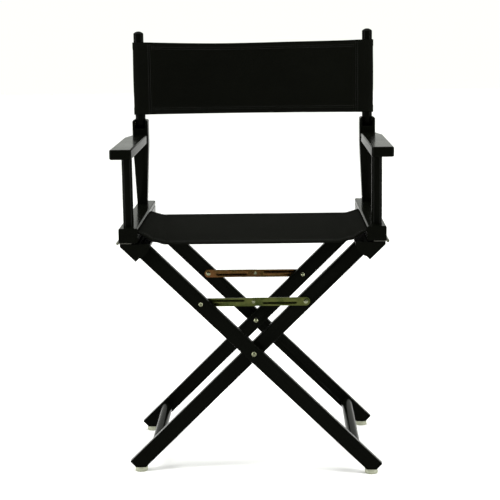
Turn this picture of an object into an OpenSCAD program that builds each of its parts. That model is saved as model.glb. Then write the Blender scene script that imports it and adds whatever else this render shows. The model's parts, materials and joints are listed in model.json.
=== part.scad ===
// Folding director chair: two upright side frames carried on a pair of crossed leg frames,
// with a slung canvas seat and a canvas back on two posts that fold down onto the arms.
// Frame: +X to the right as seen from the front, +Y to the back, +Z up, with the origin on
// the floor at the middle of the seat rails.

/* [Overall] */
// Distance between the outer faces of the two seat rails
seat_w = 527; // [480:1:600]
// Length of a seat rail from front to back
rail_len = 416; // [380:1:460]
// Height of the top of the seat rails
rail_top = 511; // [480:1:620]
// Height of the top of the back posts
back_top = 890; // [840:1:1060]

/* [Seat rails] */
// Width of a seat rail
rail_w = 38; // [34:1:46]
// Height of a seat rail
rail_h = 29; // [26:1:36]
// Depth of the rod groove's centre below the top of the rail
groove_drop = 10; // [8:0.5:14]
// Distance of the rod groove's centre from the rail's inner face
groove_inset = 8; // [7:0.5:10]
// Diameter of the rod that holds the seat canvas in its groove
seat_rod_d = 6; // [4:0.5:6]
// Solid rail left in front of the groove
groove_stop = 5; // [4:1:10]

/* [Armrests] */
// Height of the top of the armrests
arm_top = 665; // [630:1:800]
// Width of an armrest
arm_w = 44; // [38:1:60]
// Thickness of an armrest
arm_t = 20; // [16:1:26]
// Overhang of an armrest past the rail's outer face
arm_overhang = 15.5; // [8:0.5:20]
// Setback of the armrest's front end from the rail's front end
arm_setback = 12; // [6:1:20]
// Length of the clipped outer corner at the back of an armrest
arm_clip_len = 62; // [40:1:90]

/* [Posts] */
// Diameter of a front post
front_post_d = 21; // [18:0.5:26]
// Setback of the front post's axis from the rail's front end
front_post_y = 34; // [30:1:60]
// Width of a rear post at its foot
rear_post_w0 = 22; // [18:1:26]
// Width of a rear post at its forked top
rear_post_w1 = 34; // [33:1:44]
// Front-to-back size of a rear post at its foot
rear_post_d0 = 26; // [22:1:30]
// Front-to-back size of a rear post at its forked top
rear_post_d1 = 34; // [32:1:40]
// Distance of the rear post's axis from the rail's back end
rear_post_y = 41; // [30:1:60]
// Height of the forked top above the armrests
fork_rise = 33; // [30:1:44]
// Diameter of the tenons on the posts
tenon_d = 10; // [8:0.5:12]
// Length of the tenons on the posts
tenon_len = 12; // [8:1:14]

/* [Folding back] */
// Diameter of a back post dowel
dowel_d = 22; // [18:0.5:24]
// Height of the domed end of a dowel
dome_h = 5; // [3:0.5:8]
// Diameter of the pin that a dowel folds on
back_pin_d = 5; // [4:0.5:6]
// Side clearance of a dowel in its fork
fork_gap = 0.5; // [0.3:0.1:1]
// Height of the canvas back
back_h = 157; // [140:1:200]
// Bare length of dowel above the canvas back
back_show = 24; // [12:1:30]

/* [Canvas] */
// Thickness of the canvas
canvas_t = 1.4; // [1:0.1:1.6]
// Depth of the seat canvas from front to back
seat_depth = 300; // [260:1:350]
// Sag of the seat's middle below the groove
seat_sag = 11; // [6:1:24]
// Width of the sloping strip beside each rail
seat_slope_w = 46; // [30:1:80]

/* [Legs] */
// Width of a leg across its face
leg_w = 31; // [26:1:38]
// Thickness of a leg
leg_t = 19; // [16:1:22]
// Height of the pivot where the legs cross
pivot_z = 251.5; // [244:0.5:270]
// Gap between an outer leg and the inner leg beside it
leg_gap = 7; // [7:0.5:9]
// Setback of the front outer leg from the rail's front end
front_leg_y = 12; // [11:1:30]
// Setback of the rear outer leg from the rail's back end
rear_leg_y = 49; // [40:1:70]
// Length of the flat at the foot of each leg
foot_flat = 20.5; // [16:0.5:26]
// Diameter of the stretcher dowels
stretcher_d = 24; // [20:1:26]
// Distance of a stretcher inside the middle of the feet
stretcher_in = 33; // [28:1:60]

/* [Top bars] */
// Radius of the round nose of a top bar
bar_r = 29.5; // [28:0.5:31]
// Distance of the nose's centre inside the hinge pin
bar_inset = 34.5; // [33:0.5:36]
// Height of the bar's upright outer edge
bar_edge = 5; // [3:0.5:7]
// Depth of the bar's square heel below its top
heel_drop = 35; // [33:0.5:37]
// Overhang of a top bar past the outer legs
bar_overhang = 10; // [6:1:11]

/* [Hinges] */
// Length of one butt hinge
hinge_len = 60; // [45:1:70]
// Diameter of a hinge knuckle
knuckle_d = 5.8; // [5:0.1:6.4]
// Diameter of a hinge pin
hinge_pin_d = 3; // [2.5:0.1:3.4]
// Thickness of a hinge leaf
leaf_t = 1.3; // [1:0.1:1.4]
// Width of a hinge leaf
leaf_w = 24; // [18:1:26]

/* [Folding stays] */
// Width of a stay link
stay_w = 17; // [14:0.5:20]
// Thickness of a stay link
stay_t = 1.6; // [1.2:0.1:1.8]
// Distance of a stay's end screw from the chair's middle plane
stay_x = 105; // [90:1:120]
// Diameter of the stay screws
stay_screw_d = 4.8; // [4:0.1:5.2]
// Length of the pressed bead along a link
bead_len = 58; // [40:1:60]
// Width of the pressed bead
bead_w = 5.5; // [4:0.5:7]

/* [Feet and fasteners] */
// Diameter of a floor glide
glide_d = 26; // [20:1:30]
// Thickness of a floor glide
glide_t = 9; // [4:0.5:12]
// Diameter of the pivot bolts
bolt_d = 6; // [5:0.5:8]
// Diameter of the wood screws
wood_screw_d = 3.6; // [3:0.2:4]

/* [Hidden] */
$fn = 64;

// Colours
black_wood = [0.07, 0.07, 0.06];
black_canvas = [0.05, 0.05, 0.04];
bright_steel = [0.75, 0.75, 0.72];
stay_brass = [0.62, 0.52, 0.24];
stay_copper = [0.62, 0.36, 0.22];
white_plastic = [0.88, 0.87, 0.82];
pale_wood = [0.72, 0.58, 0.4];

// Clearances
run_gap = 0.05;    // radial clearance of a shaft that turns in a bore
part_gap = 0.3;    // clearance between faces that move past each other
glue_gap = 0.1;    // clearance of a leg in the pocket of its top bar
eps = 0.01;        // overlap that makes a cut pass through a face
seat_gap = 0.05;   // gap between a washer or nut and the face that it lies against
hole_spare = 0.5;  // extra depth of a hole past the end of what sits in it
cut_over = 1;      // length by which a through cut passes both faces
edge_r = 3;        // rounding along the edges of rails and legs

// Places on the side frames, measured for the side at +X
front_y = -rail_len / 2;
back_y = rail_len / 2;
rail_x1 = seat_w / 2;
rail_x0 = rail_x1 - rail_w;
rail_bottom = rail_top - rail_h;
groove_x = rail_x0 + groove_inset;
groove_z = rail_top - groove_drop;
sleeve_gap = 0.15;
sleeve_r = seat_rod_d / 2 + sleeve_gap + canvas_t;
groove_r = sleeve_r + part_gap;
slot_h = canvas_t + 2 * part_gap;
arm_x1 = rail_x1 + arm_overhang;
arm_x0 = arm_x1 - arm_w;
arm_bottom = arm_top - arm_t;
arm_front = front_y + arm_setback;
post_step = 2;                           // rear post inside the armrest's inner face
post_x = arm_x0 + rear_post_w1 / 2 - post_step;
front_post_step = 1;                     // front post outside the armrest's inner face
front_post_x = arm_x0 + front_post_d / 2 + front_post_step;
front_post_cy = front_y + front_post_y;
rear_post_cy = back_y - rear_post_y;
fork_top = arm_top + fork_rise;
arm_back = rear_post_cy - rear_post_d1 / 2;

// Places on the folding back
pin_below_top = 8;
pin_z = fork_top - pin_below_top;
fork_floor_gap = 1;
fork_w = dowel_d + 2 * fork_gap;
fork_floor = pin_z - dowel_d / 2 - fork_floor_gap;
fork_back = rear_post_cy + dowel_d / 2 + part_gap;
back_z1 = back_top - back_show;
back_z0 = back_z1 - back_h;
back_sleeve_r = dowel_d / 2 + part_gap + canvas_t;

// Places on the seat canvas
seat_setback = 1;                        // canvas behind the end of its groove
seat_y0 = front_y + groove_stop + seat_setback;
seat_steps = 8;

// Places on the hinges
leaf_play = 0.4;                         // gap between the closed leaves
hinge_space = 2 * leaf_t + leaf_play;
bar_top = rail_bottom - hinge_space;
hinge_z = rail_bottom - hinge_space / 2;
hinge_x = rail_x1 + knuckle_d / 2 + glue_gap;
bar_setback = 2;                         // distance of a top bar behind the hinge knuckles
bar_x1 = hinge_x - knuckle_d / 2 - bar_setback;
hinge_margin = 3;
bar_front = front_y + front_leg_y - bar_overhang;
bar_back = back_y - rear_leg_y + bar_overhang;
hinge_starts = [bar_front + hinge_margin, bar_back - hinge_margin - hinge_len];
knuckle_len = hinge_len / 3;
leaf_short = 0.4;                        // a leaf on a bar stops this far short of the knuckle
leaf_x0 = rail_x1 - leaf_w - leaf_short / 2;

// Places on the leg frames, in the order front outer, front inner, rear inner, rear outer
outer_front_y = front_y + front_leg_y;
inner_front_y = outer_front_y + leg_t + leg_gap;
outer_rear_y = back_y - rear_leg_y - leg_t;
inner_rear_y = outer_rear_y - leg_gap - leg_t;
leg_angle = atan((bar_top - pivot_z) / (hinge_x - bar_inset));   // slope of the legs
leg_low_x = (pivot_z - glide_t - leg_w / 2 / cos(leg_angle)) / tan(leg_angle);
foot_x = leg_low_x + foot_flat / 2;
leg_down = (leg_low_x + foot_flat) * cos(leg_angle) + (pivot_z - glide_t) * sin(leg_angle);
leg_cover = 4;                            // thickness of bar left over the end of a leg
leg_up = (bar_top - leg_cover - pivot_z - leg_w / 2 * cos(leg_angle)) / sin(leg_angle);
stretcher_x = foot_x - stretcher_in;
stretcher_z = pivot_z - stretcher_x * tan(leg_angle);
stretcher_tenon_d = 14;
stretcher_tenon = 12;

// Places on the folding stays
stay_z = pivot_z + stay_x * tan(leg_angle);
stay_hole_r = stay_screw_d / 2 + run_gap;
link_gap = 0.4;                          // space between the two links of a stay
stay_clear = (leg_gap - 2 * stay_t - link_gap) / 2;   // space between a leg and its own link
bead_h = 0.7;
rivet_r = 3.6;
rivet_spare = 0.5;                       // space between a rivet head and the leg beside it
rivet_h = stay_clear - rivet_spare;
bead_wall = 0.8;                          // wall left beside the hollow of a bead
rivet_dimple_r = 1;
front_left_link_y = outer_front_y + leg_t + stay_clear;
front_right_link_y = inner_front_y - stay_clear - stay_t;
rear_right_link_y = inner_rear_y + leg_t + stay_clear;
rear_left_link_y = outer_rear_y - stay_clear - stay_t;
stay_stack = leg_t + stay_clear + stay_t;

// Screws, nuts and nails
screw_head_r = 4.6;
screw_head_h = 2.6;
small_head_h = 1.4;
sunk_head_r = 3.6;
post_screw_len = 30;
arm_screw_len = rear_post_d1 + 24;
hinge_screw_len = 10;
hinge_head_r = leaf_t + wood_screw_d / 2;
glide_nail_len = 8;
bolt_head_r = 5.4;
bolt_head_h = 3;
bolt_past_nut = 1;
spacer_wall = 4.5;
nut_r = 5.5;
nut_h = 4.5;
stay_nut_r = 4.4;
stay_nut_h = 1.4;
stay_back_nut_h = 3;
washer_wall = 3;

// A rectangle w by h about the origin with round corners of radius r
module round_rect(w, h, r) {
    square([w - 2 * r, h], center = true);
    square([w, h - 2 * r], center = true);
    for (sx = [-1, 1], sy = [-1, 1])
        translate([sx * (w / 2 - r), sy * (h / 2 - r)]) circle(r);
}

// Extrudes a profile drawn in X and Z from y0 to y1
module along_y(y0, y1) {
    translate([0, y1, 0]) rotate([90, 0, 0]) linear_extrude(height = y1 - y0) children();
}

// A cylinder along Y from y0 to y1, about the axis through x and z
module rod_y(x, z, r, y0, y1) {
    translate([x, y1, z]) rotate([90, 0, 0]) cylinder(r = r, h = y1 - y0);
}

// Copies a piece drawn at +X to its own side, -1 for left and 1 for right
module on_side(side) {
    if (side > 0) children();
    else mirror([1, 0, 0]) children();
}

// A domed screw head with a cross recess; its seat is at the origin and it stands up along +Z
module domed_head(r, h) {
    recess_w = r * 0.28;
    recess_len = r * 1.1;
    ball_r = (r * r + h * h) / (2 * h);
    difference() {
        intersection() {
            cylinder(r = r, h = h);
            translate([0, 0, h - ball_r]) sphere(ball_r, $fn = 96);
        }
        for (turn = [0, 90]) rotate([0, 0, turn])
            translate([-recess_len / 2, -recess_w / 2, h / 2]) cube([recess_len, recess_w, h]);
    }
}

// A screw whose head seat is at the origin, with its shank running down -Z
module domed_screw(head_r, head_h, shank_r, len) {
    domed_head(head_r, head_h);
    translate([0, 0, -len]) cylinder(r = shank_r, h = len + eps);
}

// A flat-topped countersunk wood screw, its top at the origin, its shank running down -Z
module sunk_screw(shank_r, len, head_r) {
    sink = head_r - shank_r;
    translate([0, 0, -sink]) cylinder(r1 = shank_r, r2 = head_r, h = sink);
    translate([0, 0, -len]) cylinder(r = shank_r, h = len - sink + eps);
}

// ---- side frames -------------------------------------------------------------------

// Seat rail with the groove for its rod, and holes for the posts and screws
module seat_rail(side) {
    color(black_wood) on_side(side) difference() {
        along_y(front_y, back_y)
            translate([(rail_x0 + rail_x1) / 2, (rail_bottom + rail_top) / 2])
                round_rect(rail_w, rail_h, edge_r);
        rod_y(groove_x, groove_z, groove_r, front_y + groove_stop, back_y + eps);
        translate([rail_x0 - eps, front_y + groove_stop, groove_z - slot_h / 2])
            cube([groove_inset, rail_len, slot_h]);
        for (place = [[front_post_x, front_post_cy], [post_x, rear_post_cy]])
            translate([place[0], place[1], 0]) {
                translate([0, 0, rail_top - tenon_len - hole_spare])
                    cylinder(r = tenon_d / 2 + run_gap, h = tenon_len + cut_over);
                translate([0, 0, rail_bottom]) mirror([0, 0, 1])
                    sunk_screw_hole();
            }
        hinge_screw_places() translate([0, 0, rail_bottom - eps])
            cylinder(r = wood_screw_d / 2 + run_gap, h = hinge_screw_len + hole_spare);
    }
}

// The hole that a post screw runs in, its mouth at the origin, running down -Z
module sunk_screw_hole() {
    shank_r = wood_screw_d / 2 + run_gap;
    sink = sunk_head_r - wood_screw_d / 2;
    translate([0, 0, -sink]) cylinder(r1 = shank_r, r2 = sunk_head_r + run_gap, h = sink + eps);
    translate([0, 0, -post_screw_len - hole_spare])
        cylinder(r = shank_r, h = post_screw_len + hole_spare);
}

// Screws up through the rail into the two posts
module post_screws(side) {
    color(bright_steel) on_side(side)
        for (place = [[front_post_x, front_post_cy], [post_x, rear_post_cy]])
            translate([place[0], place[1], rail_bottom]) mirror([0, 0, 1])
                sunk_screw(wood_screw_d / 2, post_screw_len, sunk_head_r);
}

// Round front post with a tenon at each end
module front_post(side) {
    color(black_wood) on_side(side) translate([front_post_x, front_post_cy, 0]) difference() {
        union() {
            translate([0, 0, rail_top]) cylinder(r = front_post_d / 2, h = arm_bottom - rail_top);
            translate([0, 0, rail_top - tenon_len])
                cylinder(r = tenon_d / 2, h = arm_bottom - rail_top + 2 * tenon_len);
        }
        translate([0, 0, rail_bottom]) mirror([0, 0, 1]) sunk_screw_hole();
    }
}

// Tapered rear post with the fork for the folding back
module rear_post(side) {
    height = fork_top - rail_top;
    color(black_wood) on_side(side) translate([post_x, rear_post_cy, 0]) difference() {
        union() {
            intersection() {
                along_y(-rear_post_d1, rear_post_d1) polygon([
                    [-rear_post_w0 / 2, rail_top], [rear_post_w0 / 2, rail_top],
                    [rear_post_w1 / 2, arm_bottom], [rear_post_w1 / 2, fork_top - edge_r],
                    [rear_post_w1 / 2 - edge_r, fork_top], [edge_r - rear_post_w1 / 2, fork_top],
                    [-rear_post_w1 / 2, fork_top - edge_r], [-rear_post_w1 / 2, arm_bottom]]);
                translate([-rear_post_w1, 0, 0]) rotate([90, 0, 90])
                    linear_extrude(height = 2 * rear_post_w1) polygon([
                        [-rear_post_d0 / 2, rail_top], [rear_post_d0 / 2, rail_top],
                        [rear_post_d1 / 2, arm_bottom], [rear_post_d1 / 2, fork_top - edge_r],
                        [rear_post_d1 / 2 - edge_r, fork_top], [-rear_post_d1 / 2, fork_top],
                        [-rear_post_d1 / 2, arm_bottom]]);
            }
            translate([0, 0, rail_top - tenon_len]) cylinder(r = tenon_d / 2, h = tenon_len + eps);
        }
        // fork, open at the front and the top
        translate([-fork_w / 2, -rear_post_d1, fork_floor])
            cube([fork_w, rear_post_d1 + fork_back - rear_post_cy, height]);
        // bore of the back pin
        translate([-rear_post_w1, 0, pin_z]) rotate([0, 90, 0])
            cylinder(r = back_pin_d / 2 + run_gap, h = 2 * rear_post_w1);
        translate([0, 0, rail_bottom]) mirror([0, 0, 1]) sunk_screw_hole();
        translate([0, 0, (arm_top + arm_bottom) / 2]) rotate([90, 0, 0])
            cylinder(r = wood_screw_d / 2 + run_gap, h = 4 * rear_post_d1, center = true);
    }
}

// Long screws through the rear posts into the ends of the armrests
module arm_screws(side) {
    color(bright_steel) on_side(side)
        translate([post_x, rear_post_cy + rear_post_d1 / 2, (arm_top + arm_bottom) / 2])
            rotate([-90, 0, 0])
                domed_screw(screw_head_r, screw_head_h, wood_screw_d / 2, arm_screw_len);
}

// Plan of an armrest: round front corners, clipped outer corner at the back
module arm_plan(inset) {
    nose_r = 5;
    x0 = arm_x0 + inset;
    x1 = arm_x1 - inset;
    y0 = arm_front + inset;
    clip_x = post_x + rear_post_w1 / 2 - inset;
    for (x = [x0 + nose_r, x1 - nose_r]) translate([x, y0 + nose_r]) circle(nose_r);
    translate([x0 + nose_r, y0]) square([x1 - x0 - 2 * nose_r, 2 * nose_r]);
    polygon([[x0, y0 + nose_r], [x1, y0 + nose_r], [x1, arm_back - arm_clip_len],
             [clip_x, arm_back], [x0, arm_back]]);
}

// Armrest with its edges eased in small steps
module armrest(side) {
    ease = 2;
    steps = 4;
    color(black_wood) on_side(side) difference() {
        union() {
            translate([0, 0, arm_bottom + ease])
                linear_extrude(height = arm_t - 2 * ease) arm_plan(0);
            for (i = [1 : steps]) {
                turn = 90 * i / steps;
                last = 90 * (i - 1) / steps;
                inset = ease * (1 - cos((turn + last) / 2));
                translate([0, 0, arm_top - ease + ease * sin(last) - eps])
                    linear_extrude(height = ease * (sin(turn) - sin(last)) + eps) arm_plan(inset);
                translate([0, 0, arm_bottom + ease - ease * sin(turn)])
                    linear_extrude(height = ease * (sin(turn) - sin(last)) + eps) arm_plan(inset);
            }
        }
        translate([front_post_x, front_post_cy, arm_bottom - eps])
            cylinder(r = tenon_d / 2 + run_gap, h = tenon_len + hole_spare);
        translate([post_x, arm_back + eps, (arm_top + arm_bottom) / 2]) rotate([90, 0, 0])
            cylinder(r = wood_screw_d / 2 + run_gap, h = arm_screw_len - rear_post_d1 + hole_spare);
    }
}

// Rod inside the seam of the seat canvas
module seat_rod(side) {
    color(pale_wood) on_side(side)
        rod_y(groove_x, groove_z, seat_rod_d / 2, seat_y0, seat_y0 + seat_depth);
}

// ---- folding back ------------------------------------------------------------------

// Dowel of the folding back, round at its foot and domed at its top
module back_dowel(side) {
    r = dowel_d / 2;
    dome_r = (r * r + dome_h * dome_h) / (2 * dome_h);
    color(black_wood) on_side(side) translate([post_x, rear_post_cy, 0]) difference() {
        union() {
            translate([0, 0, pin_z]) sphere(r);
            intersection() {
                translate([0, 0, pin_z]) cylinder(r = r, h = back_top - pin_z);
                translate([0, 0, back_top - dome_r]) cylinder(r = r, h = dome_r);
                translate([0, 0, back_top - dome_r]) sphere(dome_r, $fn = 96);
            }
            translate([0, 0, pin_z]) cylinder(r = r, h = back_top - dome_r - pin_z + eps);
        }
        translate([-rear_post_w1, 0, pin_z]) rotate([0, 90, 0])
            cylinder(r = back_pin_d / 2 + run_gap, h = 2 * rear_post_w1);
    }
}

// Pin through the fork that a dowel folds on
module back_pin(side) {
    color(bright_steel) on_side(side) translate([post_x - rear_post_w1 / 2, rear_post_cy, pin_z])
        rotate([0, 90, 0]) cylinder(r = back_pin_d / 2, h = rear_post_w1);
}

// Closed canvas panel, its ends sewn round the two dowels
module back_canvas() {
    panel_y = rear_post_cy - back_sleeve_r;
    color(black_canvas) translate([0, 0, back_z0]) linear_extrude(height = back_h) difference() {
        union() {
            for (side = [-1, 1]) translate([side * post_x, rear_post_cy]) circle(back_sleeve_r);
            translate([-post_x, panel_y]) square([2 * post_x, canvas_t]);
        }
        for (side = [-1, 1]) translate([side * post_x, rear_post_cy])
            circle(dowel_d / 2 + part_gap);
    }
}

// Height of the seat's underside at a distance x from the middle plane
function seat_low(x) =
    groove_z - canvas_t / 2 - seat_sag * (
        abs(x) > rail_x0 - seat_slope_w
            ? (1 + cos(180 * (abs(x) - rail_x0 + seat_slope_w) / seat_slope_w)) / 2
            : 1);

// Slung seat with its two seams round the rods
module seat_canvas() {
    slope = [for (i = [0 : seat_steps]) rail_x0 - seat_slope_w * i / seat_steps];
    edge = concat([groove_x - sleeve_r], slope);
    xs = concat(-edge, [for (i = [len(edge) - 1 : -1 : 0]) edge[i]]);
    low = [for (x = xs) [x, seat_low(min(abs(x), rail_x0))]];
    high = [for (i = [len(low) - 1 : -1 : 0]) low[i] + [0, canvas_t]];
    color(black_canvas) along_y(seat_y0, seat_y0 + seat_depth) difference() {
        union() {
            polygon(concat(low, high));
            for (side = [-1, 1]) {
                translate([side * groove_x, groove_z]) circle(sleeve_r);
                translate([side * (groove_x - sleeve_r / 2), groove_z])
                    square([sleeve_r + 2 * eps, canvas_t], center = true);
            }
        }
        for (side = [-1, 1]) translate([side * groove_x, groove_z])
            circle(seat_rod_d / 2 + sleeve_gap);
    }
}

// ---- leg frames --------------------------------------------------------------------

// A plain leg of the outer frame, from the top bar at -X down to the foot at +X, whose
// front face is at y; grow widens it all round for cutting its pocket
module leg_stick(y, grow) {
    intersection() {
        translate([0, y + leg_t / 2, pivot_z]) rotate([0, leg_angle, 0])
            translate([-leg_up, 0, 0]) rotate([90, 0, 90])
                linear_extrude(height = leg_up + leg_down)
                    round_rect(leg_t + 2 * grow, leg_w + 2 * grow, edge_r);
        translate([-rail_len, y - leg_t, glide_t])
            cube([2 * rail_len, 3 * leg_t, bar_top]);
    }
}

// A leg with its holes; face is 1 where the stretcher enters its back and -1 its front
module leg(y, face) {
    tenon_y = face > 0 ? y + leg_t - stretcher_tenon - hole_spare : y - eps;
    color(black_wood) difference() {
        leg_stick(y, 0);
        rod_y(0, pivot_z, bolt_d / 2 + run_gap, y - cut_over, y + leg_t + cut_over);
        rod_y(-stay_x, stay_z, stay_hole_r, y - cut_over, y + leg_t + cut_over);
        rod_y(stretcher_x, stretcher_z, stretcher_tenon_d / 2 + run_gap, tenon_y,
              tenon_y + stretcher_tenon + hole_spare + eps);
        translate([foot_x, y + leg_t / 2, glide_t - eps])
            cylinder(r = wood_screw_d / 2 + run_gap, h = glide_nail_len + hole_spare);
    }
}

// The outer frame is drawn as it stands; the inner frame is its mirror image
module outer_side() {
    children();
}

module inner_side() {
    mirror([1, 0, 0]) children();
}

// Round dowel between the two legs of a frame, with a tenon at each end
module stretcher(y0, y1) {
    color(black_wood) {
        rod_y(stretcher_x, stretcher_z, stretcher_d / 2, y0, y1);
        rod_y(stretcher_x, stretcher_z, stretcher_tenon_d / 2, y0 - stretcher_tenon,
              y1 + stretcher_tenon);
    }
}

// Floor glides nailed under the legs whose front faces are listed
module glides(legs) {
    rim = 1;
    color(white_plastic) for (y = legs) translate([foot_x, y + leg_t / 2, 0]) {
        cylinder(r1 = glide_d / 2 - rim, r2 = glide_d / 2, h = rim);
        translate([0, 0, rim]) cylinder(r = glide_d / 2, h = glide_t - rim);
        cylinder(r = wood_screw_d / 2, h = glide_t + glide_nail_len);
    }
}

// Section of the outer frame's top bar: a nose that is round towards the chair's middle, and
// a square heel along the leg
module bar_section() {
    cx = -(hinge_x - bar_inset);
    edge_z = bar_top - bar_edge;
    heel_z = bar_top - heel_drop;
    heel_x = -bar_x1 + (edge_z - heel_z) / tan(leg_angle);
    low_z = bar_top - 2 * bar_r;
    low_x = -bar_x1 + (edge_z - low_z) / tan(leg_angle);
    intersection() {
        union() {
            translate([cx, bar_top]) circle(bar_r, $fn = 96);
            polygon([[-bar_x1, bar_top], [-bar_x1, edge_z], [heel_x, heel_z],
                     [heel_x + bar_r * sin(leg_angle), heel_z + bar_r * cos(leg_angle)],
                     [cx, bar_top]]);
        }
        polygon([[-bar_x1, bar_top], [-bar_x1, edge_z], [low_x, low_z],
                 [cx + bar_r, low_z], [cx + bar_r, bar_top]]);
    }
}

// Top bar of a leg frame, with pockets for its legs and holes for its hinge screws
module top_bar(legs) {
    color(black_wood) difference() {
        along_y(bar_front, bar_back) bar_section();
        for (y = legs) leg_stick(y, glue_gap);
        mirror([1, 0, 0]) hinge_screw_places() translate([0, 0, bar_top - hinge_screw_len - hole_spare])
            cylinder(r = wood_screw_d / 2 + run_gap, h = hinge_screw_len + cut_over);
    }
}

// ---- hinges ------------------------------------------------------------------------

// Places a child at each hinge screw, at height 0, on the +X side
module hinge_screw_places() {
    for (start = hinge_starts, part = [1, 5])
        translate([leaf_x0 + leaf_w / 2, start + part * hinge_len / 6, 0]) children();
}

// Countersunk holes through the leaves whose outer face is at z; up is 1 where that face
// looks up and 0 where it looks down
module screw_seats(z, up) {
    hinge_screw_places() translate([0, 0, z]) mirror([0, 0, up]) translate([0, 0, -eps])
        cylinder(r1 = hinge_head_r + run_gap, r2 = wood_screw_d / 2 + run_gap,
                 h = leaf_t + 2 * eps);
}

// Leaves on the rail, with the two end knuckles of each hinge
module rail_hinge_leaves(side) {
    color(bright_steel) on_side(side) difference() {
        for (start = hinge_starts) {
            translate([leaf_x0, start, rail_bottom - leaf_t]) cube([leaf_w, hinge_len, leaf_t]);
            for (part = [0, 2]) {
                y0 = start + part * knuckle_len;
                rod_y(hinge_x, hinge_z, knuckle_d / 2, y0, y0 + knuckle_len);
                translate([leaf_x0, y0, rail_bottom - leaf_t])
                    cube([hinge_x - leaf_x0, knuckle_len, leaf_t]);
            }
        }
        hinge_pin_bores();
        screw_seats(rail_bottom - leaf_t, 0);
    }
}

// Leaves on the top bar, with the middle knuckle of each hinge
module bar_hinge_leaves() {
    color(bright_steel) mirror([1, 0, 0]) difference() {
        for (start = hinge_starts) {
            y0 = start + knuckle_len + part_gap;
            len = knuckle_len - 2 * part_gap;
            translate([leaf_x0, start, bar_top]) cube([leaf_w - leaf_short, hinge_len, leaf_t]);
            rod_y(hinge_x, hinge_z, knuckle_d / 2, y0, y0 + len);
            translate([leaf_x0, y0, bar_top]) cube([hinge_x - leaf_x0, len, leaf_t]);
        }
        hinge_pin_bores();
        screw_seats(bar_top + leaf_t, 1);
    }
}

// Bores of the hinge pins through the knuckles
module hinge_pin_bores() {
    for (start = hinge_starts)
        rod_y(hinge_x, hinge_z, hinge_pin_d / 2 + run_gap, start - cut_over,
              start + hinge_len + cut_over);
}

// The pins that the knuckles of one side turn on
module hinge_pins(side) {
    color(bright_steel) on_side(side) for (start = hinge_starts)
        rod_y(hinge_x, hinge_z, hinge_pin_d / 2, start, start + hinge_len);
}

// Screws that hold the rail's leaves
module rail_hinge_screws(side) {
    color(bright_steel) on_side(side) hinge_screw_places()
        translate([0, 0, rail_bottom - leaf_t]) mirror([0, 0, 1])
            sunk_screw(wood_screw_d / 2, hinge_screw_len, hinge_head_r);
}

// Screws that hold the top bar's leaves
module bar_hinge_screws() {
    color(bright_steel) mirror([1, 0, 0]) hinge_screw_places()
        translate([0, 0, bar_top + leaf_t])
            sunk_screw(wood_screw_d / 2, hinge_screw_len, hinge_head_r);
}

// ---- pivots ------------------------------------------------------------------------

// Bolt through a pair of legs, its domed head on the face at y
module pivot_bolt(y) {
    color(bright_steel) translate([0, y, pivot_z]) rotate([90, 0, 0])
        domed_screw(bolt_head_r, bolt_head_h, bolt_d / 2,
                    2 * leg_t + leg_gap + nut_h + bolt_past_nut);
}

// Hexagon nuts behind each pair of legs
module pivot_nuts() {
    color(bright_steel) for (y = [inner_front_y + leg_t, outer_rear_y + leg_t])
        translate([0, y + part_gap + nut_h, pivot_z]) rotate([90, 0, 0]) difference() {
            cylinder(r = nut_r, h = nut_h, $fn = 6);
            translate([0, 0, -cut_over])
                cylinder(r = bolt_d / 2 + run_gap, h = nut_h + 2 * cut_over);
        }
}

// Spacers between the legs of each pair; each lies against the outer leg
module pivot_spacers() {
    color(bright_steel) for (y = [outer_front_y + leg_t, inner_rear_y + leg_t + glue_gap])
        difference() {
            rod_y(0, pivot_z, bolt_d / 2 + spacer_wall, y, y + leg_gap - glue_gap);
            rod_y(0, pivot_z, bolt_d / 2 + run_gap, y - cut_over, y + leg_gap + cut_over);
        }
}

// ---- folding stays -----------------------------------------------------------------

// Link from the screw at -X to the middle rivet; bead_side is -1 where the bead is pressed
// towards the front and 1 where it is pressed towards the back
module stay_link(y, bead_side, tint) {
    bead_mid = -stay_x / 2;
    bead_y = bead_side < 0 ? y - bead_h : y + bead_h;
    color(tint) difference() {
        union() {
            along_y(y, y + stay_t) translate([0, stay_z]) stay_plan(stay_x, stay_w, 0);
            along_y(bead_y, bead_y + stay_t)
                translate([bead_mid + bead_len / 2, stay_z]) stay_plan(bead_len, bead_w, 0);
        }
        // hollow on the other side of the bead
        along_y(bead_side < 0 ? y + stay_t - bead_h : y - cut_over,
                bead_side < 0 ? y + stay_t + cut_over : y + bead_h)
            translate([bead_mid + bead_len / 2, stay_z]) stay_plan(bead_len, bead_w, bead_wall);
        rod_y(-stay_x, stay_z, stay_hole_r, y - cut_over, y + stay_t + cut_over);
    }
}

// A strip with round ends whose end centres are at x = 0 and x = -len
module stay_plan(len, w, shrink) {
    for (x = [-len, 0]) translate([x, 0]) circle(w / 2 - shrink);
    translate([-len, shrink - w / 2]) square([len, w - 2 * shrink]);
}

// Low rivet head on the face at y, standing towards -Y for face -1 and +Y for face 1
module stay_rivet(y, face) {
    color(bright_steel) translate([0, y, stay_z]) rotate([face < 0 ? 90 : -90, 0, 0])
        difference() {
            cylinder(r1 = rivet_r, r2 = rivet_r - rivet_dimple_r, h = rivet_h);
            translate([0, 0, rivet_h / 2]) cylinder(r = rivet_dimple_r, h = rivet_h);
        }
}

// Screw through a leg and its link, its head seat at head_y and its shank running back
module stay_screw(head_y, head_h, len) {
    translate([-stay_x, head_y, stay_z]) rotate([90, 0, 0])
        domed_screw(screw_head_r, head_h, stay_screw_d / 2, len);
}

module stay_screws_outer() {
    color(bright_steel) {
        stay_screw(outer_front_y, screw_head_h, stay_stack + stay_nut_h);
        stay_screw(rear_left_link_y - seat_gap, small_head_h,
                   stay_stack + stay_back_nut_h + seat_gap);
    }
}

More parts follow.
